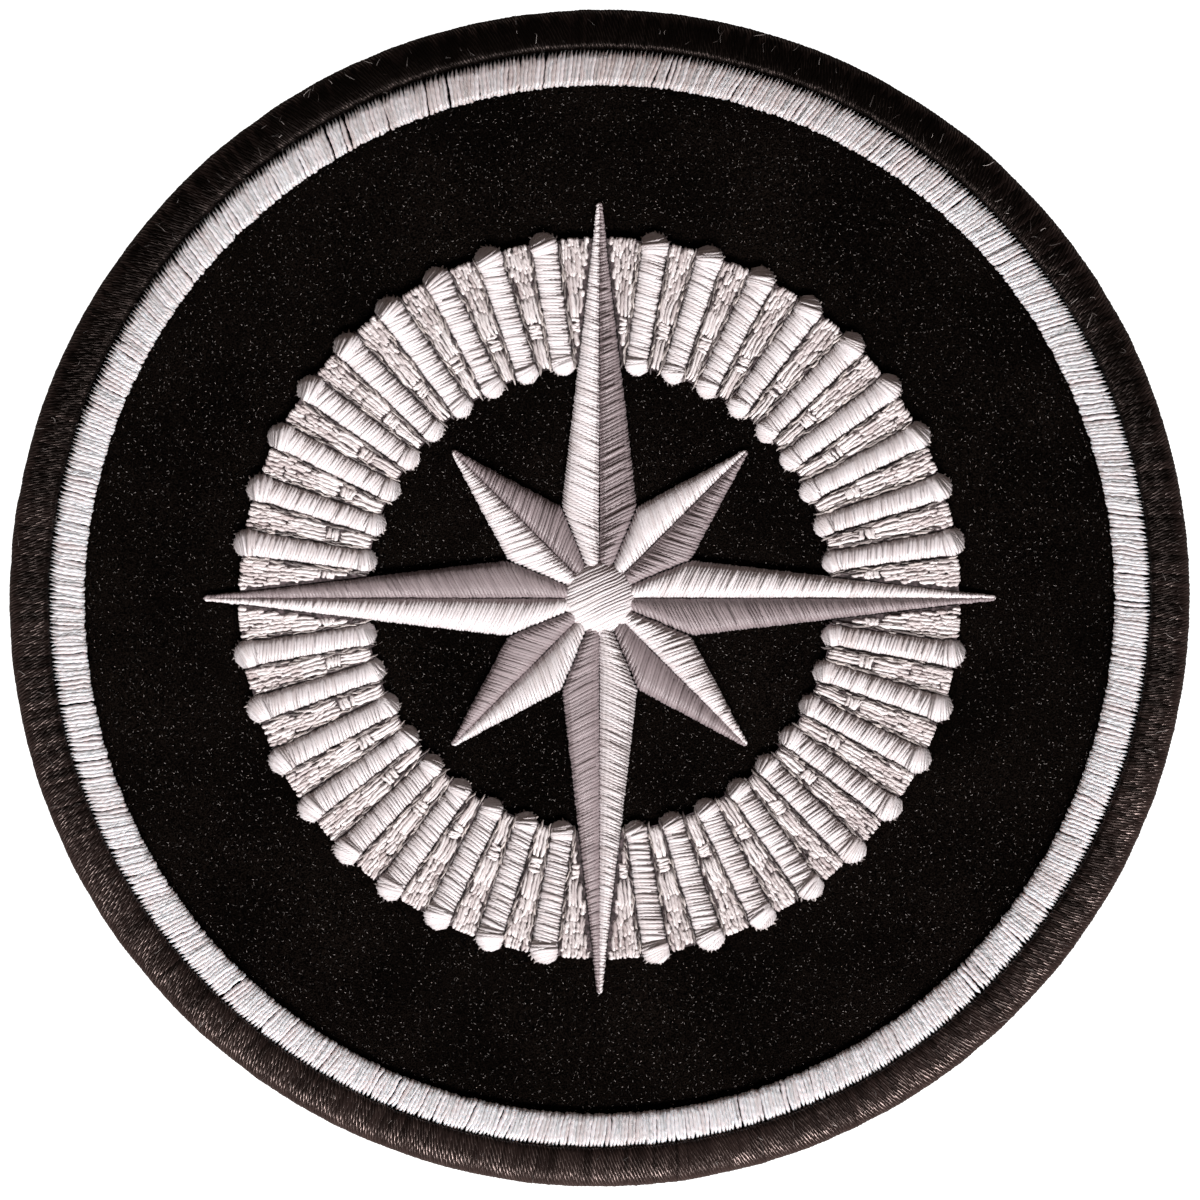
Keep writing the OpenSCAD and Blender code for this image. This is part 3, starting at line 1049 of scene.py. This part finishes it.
# Velvet: one disc of cloth, pulled down beside the stitches, flat behind
velvet = {
    "edge": 48.9 * mm,
    "backEdge": 47.3 * mm,
    "tongueLow": 0.55 * mm,
    "tongueHigh": 1.15 * mm,
    "rings": 60,
    "backRings": 13,
    "spokes": 200,
    "topInset": 0.05 * mm,
    "sink": 0.03 * mm,  # how far the cloth lies under the top of the pile
    "pull": 0.12 * mm,
    "pullReach": 0.8 * mm,
    "swell": 0.02 * mm,
    "swellSize": (5.1 * mm, 6.3 * mm),
    "grain": 0.008 * mm,
    "bandInset": 1.0 * mm,  # from the middles of the knobs to the edges of the band
    "bandOutset": 1.1 * mm,
    "covered": 0.15 * mm,  # how far under the stitches there is still pile
}


def stitchedDistance(x, y):
    radius = np.hypot(x, y)
    angle = np.arctan2(y, x)
    toRing = ringOuter - ring["width"] - radius
    inwards = rib["inner"] - velvet["bandInset"] - radius
    outwards = radius - rib["outer"] - velvet["bandOutset"]
    toBand = np.maximum(inwards, outwards)
    toHub = radius - hub["radius"]
    fold = np.abs((angle + pi / 8) % (pi / 4) - pi / 8)
    ray = np.round((angle % (2 * pi)) / (pi / 4)) % 2
    tip = np.where(ray == 0, rose["longTip"], rose["shortTip"])
    x2, y2 = radius * np.cos(fold), radius * np.sin(fold)
    toRay = np.where(x2 < tip, y2 - rayHalf(x2, tip), np.hypot(x2 - tip, y2))
    return np.minimum(np.minimum(toRing, toBand), np.minimum(toHub, toRay))


# The upper face, ring by ring, and how far each of its points is from the stitches
def velvetTop(angle, edge):
    rng = np.random.RandomState(17)
    radii = np.linspace(0, edge, velvet["rings"] + 1)[1:]
    x = np.outer(radii, np.cos(angle))
    y = np.outer(radii, np.sin(angle))
    away = stitchedDistance(x, y)
    pulled = velvet["pull"] * np.exp(-np.maximum(away, 0) / velvet["pullReach"])
    sizeX, sizeY = velvet["swellSize"]
    soft = velvet["swell"] * np.sin(x / sizeX + 1) * np.sin(y / sizeY)
    soft = soft + rng.uniform(-1, 1, x.shape) * velvet["grain"]
    z = clothTop - velvet["sink"] - pulled + soft
    return list(zip(x.ravel(), y.ravel(), z.ravel())), away.ravel()


# Faces of a disc whose points are its middle, rows of spokes, and the middle of its back
def discFaces(rows, spokes):
    around = [(i, (i + 1) % spokes) for i in range(spokes)]
    faces = [(0, 1 + i, 1 + j) for i, j in around]
    for row in range(rows - 1):
        a, b = 1 + row * spokes, 1 + (row + 1) * spokes
        faces += [(a + i, b + i, b + j, a + j) for i, j in around]
    last = 1 + (rows - 1) * spokes
    return faces + [(last + i, last + spokes, last + j) for i, j in around]


def makeVelvet():
    spokes = velvet["spokes"]
    angle = np.arange(spokes) * 2 * pi / spokes
    topEdge = ringOuter - velvet["topInset"]
    top, away = velvetTop(angle, topEdge)
    points = [(0, 0, clothTop - velvet["pull"])] + top
    edge, backEdge, low, high = (velvet[key] for key in ("edge", "backEdge", "tongueLow", "tongueHigh"))
    loops = [(topEdge, high), (edge, high), (edge, low), (backEdge, low), (backEdge, 0.0)]
    loops += [(radius, 0.0) for radius in np.linspace(backEdge, 0, velvet["backRings"])[1:-1]]
    for radius, height in loops:
        points += [(radius * cos(a), radius * sin(a), height) for a in angle]
    points.append((0, 0, 0))
    faces = discFaces(velvet["rings"] + len(loops), spokes)
    mesh = bpy.data.meshes.new("velvetGround")
    mesh.from_pydata(points, [], faces)
    mesh.shade_smooth()
    free = np.zeros(len(points), np.float32)
    free[1:1 + away.size] = away > -velvet["covered"]
    mesh.attributes.new("open", "FLOAT", "POINT").data.foreach_set("value", free)
    obj = link(bpy.data.objects.new("velvetGround", mesh))
    obj.data.materials.append(velvetCloth)
    obj.data.materials.append(backingCloth)
    behind = np.array([all(points[v][2] < low + 1e-9 for v in face) for face in faces])
    mesh.polygons.foreach_set("material_index", behind.astype(np.int32))
    tellSize(obj)
    return obj


# Pile: the ends of the velvet's fibres, a few of them pale: partly lint, partly painted glints of fibres
# that lie flat
pile = {
    "perSquareMetre": 10e6,
    "thickness": 0.036 * mm,
    "shortest": 0.1 * mm,
    "longest": 0.26 * mm,
    # how rare the pale fibres are: partly lint, partly painted glints
    "paleness": 4.5,
    "lean": (0.7, 1.55),
    "rise": 0.02 * mm,
}


def makePile(ground):
    source = bpy.data.objects.new("velvetPile", ground.data.copy())
    source.data.materials.clear()
    made = grow(link(source), fibreTree, {
        "Density": pile["perSquareMetre"], "Thickness": pile["thickness"], "Shortest": pile["shortest"],
        "Longest": pile["longest"], "Paleness": pile["paleness"], "Least Lean": pile["lean"][0],
        "Most Lean": pile["lean"][1], "Rise": pile["rise"], "Seed": 81, "Material": pileFibre,
    })
    shade = np.zeros(len(made.data.vertices), np.float32)
    made.data.attributes["shade"].data.foreach_get("value", shade)
    made.data.attributes.new("tone", "FLOAT", "POINT").data.foreach_set("value", shade)
    return made


def dressNodes():
    cores = {"border": blackCore, "ring": blackCore, "fill": brownCore, "hub": paleCore}
    for name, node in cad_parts.items():
        core = paleCore if name.endswith("_light") else cores.get(name.split("_")[0], lilacCore)
        node.data.materials.clear()
        node.data.materials.append(core)


dressNodes()
made = []
for makePiece in (makeBorder, makeRing, makeRibs, makeRose, makeHub, makeFill, makeEdging, makeHairs):
    made += makePiece()
ground = makeVelvet()
made += [ground, makePile(ground)]
slots = {
    "borderStitches": "thread_black",
    "borderUnderStitches": "thread_black",
    "strayHairs": "thread_black",
    "fillStitches": "thread_grey",
    "pointStitchesDark": "thread_lilac",
    "edgingStitches": "thread_lilac",
    "velvetGround": "velvet",
    "velvetPile": "velvet",
}
for piece in made:
    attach(piece, "root")
    slots.get(piece.name, "thread_white")
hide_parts("ground")
print("pieces made")

# Stage: white floor, soft light from the lower side of the picture
stage = {
    "floorSize": 3.0,
    "floorColour": (0.2, 0.19, 0.18),
    "floorRoughness": 0.9,
    "floorShine": 0.1,
    "floorDrop": 0.05 * mm,
    "glow": 1.2,  # of floor and sky, as the camera sees them
    "ambient": 0.1,
    "ambientColour": (1.0, 0.78, 0.68),
    "keyPower": 190,
    "keySize": (4.0, 0.7),
    "keyDistance": 3.0,
    "keyHeight": radians(40),
    "keyTurn": radians(8),  # from straight below the picture towards its right
}
white = (1, 1, 1, 1)


# A floor that is clear from behind
def makeFloor():
    half = stage["floorSize"] / 2
    corners = [(-half, -half, 0), (half, -half, 0), (half, half, 0), (-half, half, 0)]
    mesh = bpy.data.meshes.new("floor")
    mesh.from_pydata(corners, [], [(0, 1, 2, 3)])
    floor = link(bpy.data.objects.new("floor", mesh))
    material, tree, shader = startMaterial("paleFloor")
    shader.inputs["Base Color"].default_value = colour(stage["floorColour"])
    shader.inputs["Roughness"].default_value = stage["floorRoughness"]
    shader.inputs["Specular IOR Level"].default_value = stage["floorShine"]
    shader.inputs["Emission Color"].default_value = white
    seen = addNode(tree, "ShaderNodeLightPath").outputs["Is Camera Ray"]
    tree.links.new(calc(tree, "MULTIPLY", seen, stage["glow"]), shader.inputs["Emission Strength"])
    behind = addNode(tree, "ShaderNodeNewGeometry").outputs["Backfacing"]
    clear = addNode(tree, "ShaderNodeBsdfTransparent").outputs[0]
    either = addNode(tree, "ShaderNodeMixShader", {0: behind, 1: shader.outputs[0], 2: clear}).outputs[0]
    tree.links.new(either, tree.nodes["Material Output"].inputs["Surface"])
    mesh.materials.append(material)
    floor.location.z = -stage["floorDrop"]
    return floor


def makeSky():
    world = bpy.data.worlds.new("studio")
    world.use_nodes = True
    tree = world.node_tree
    background = tree.nodes["Background"].inputs
    seen = addNode(tree, "ShaderNodeLightPath").outputs["Is Camera Ray"]
    tree.links.new(mixColour(tree, seen, colour(stage["ambientColour"]), white), background["Color"])
    power = ramp(tree, seen, 0.0, 1.0, stage["ambient"], stage["glow"], "LINEAR")
    tree.links.new(power, background["Strength"])
    bpy.context.scene.world = world


def makeKeyLight():
    lamp = bpy.data.lights.new("keyLight", "AREA")
    lamp.shape = "RECTANGLE"
    lamp.size, lamp.size_y = stage["keySize"]
    lamp.energy = stage["keyPower"]
    key = link(bpy.data.objects.new("keyLight", lamp))
    tilt, turn = pi / 2 - stage["keyHeight"], stage["keyTurn"]
    key.rotation_euler = (tilt, 0, turn)
    flat = stage["keyDistance"] * sin(tilt)
    key.location = (flat * sin(turn), -flat * cos(turn), stage["keyDistance"] * cos(tilt))


# Camera: straight above, as the photo was taken
view = {"frameWidth": 102.16 * mm, "right": 0.043 * mm, "down": 0.162 * mm, "distance": 0.4}


def makeCamera():
    lens = bpy.data.cameras.new("camera")
    lens.type = "ORTHO"
    lens.ortho_scale = view["frameWidth"]
    camera = link(bpy.data.objects.new("camera", lens))
    camera.location = (view["right"], -view["down"], view["distance"])
    bpy.context.scene.camera = camera


floor = makeFloor()
makeSky()
makeKeyLight()
makeCamera()
bpy.context.scene.view_settings.view_transform = "Standard"
print("stage ready")
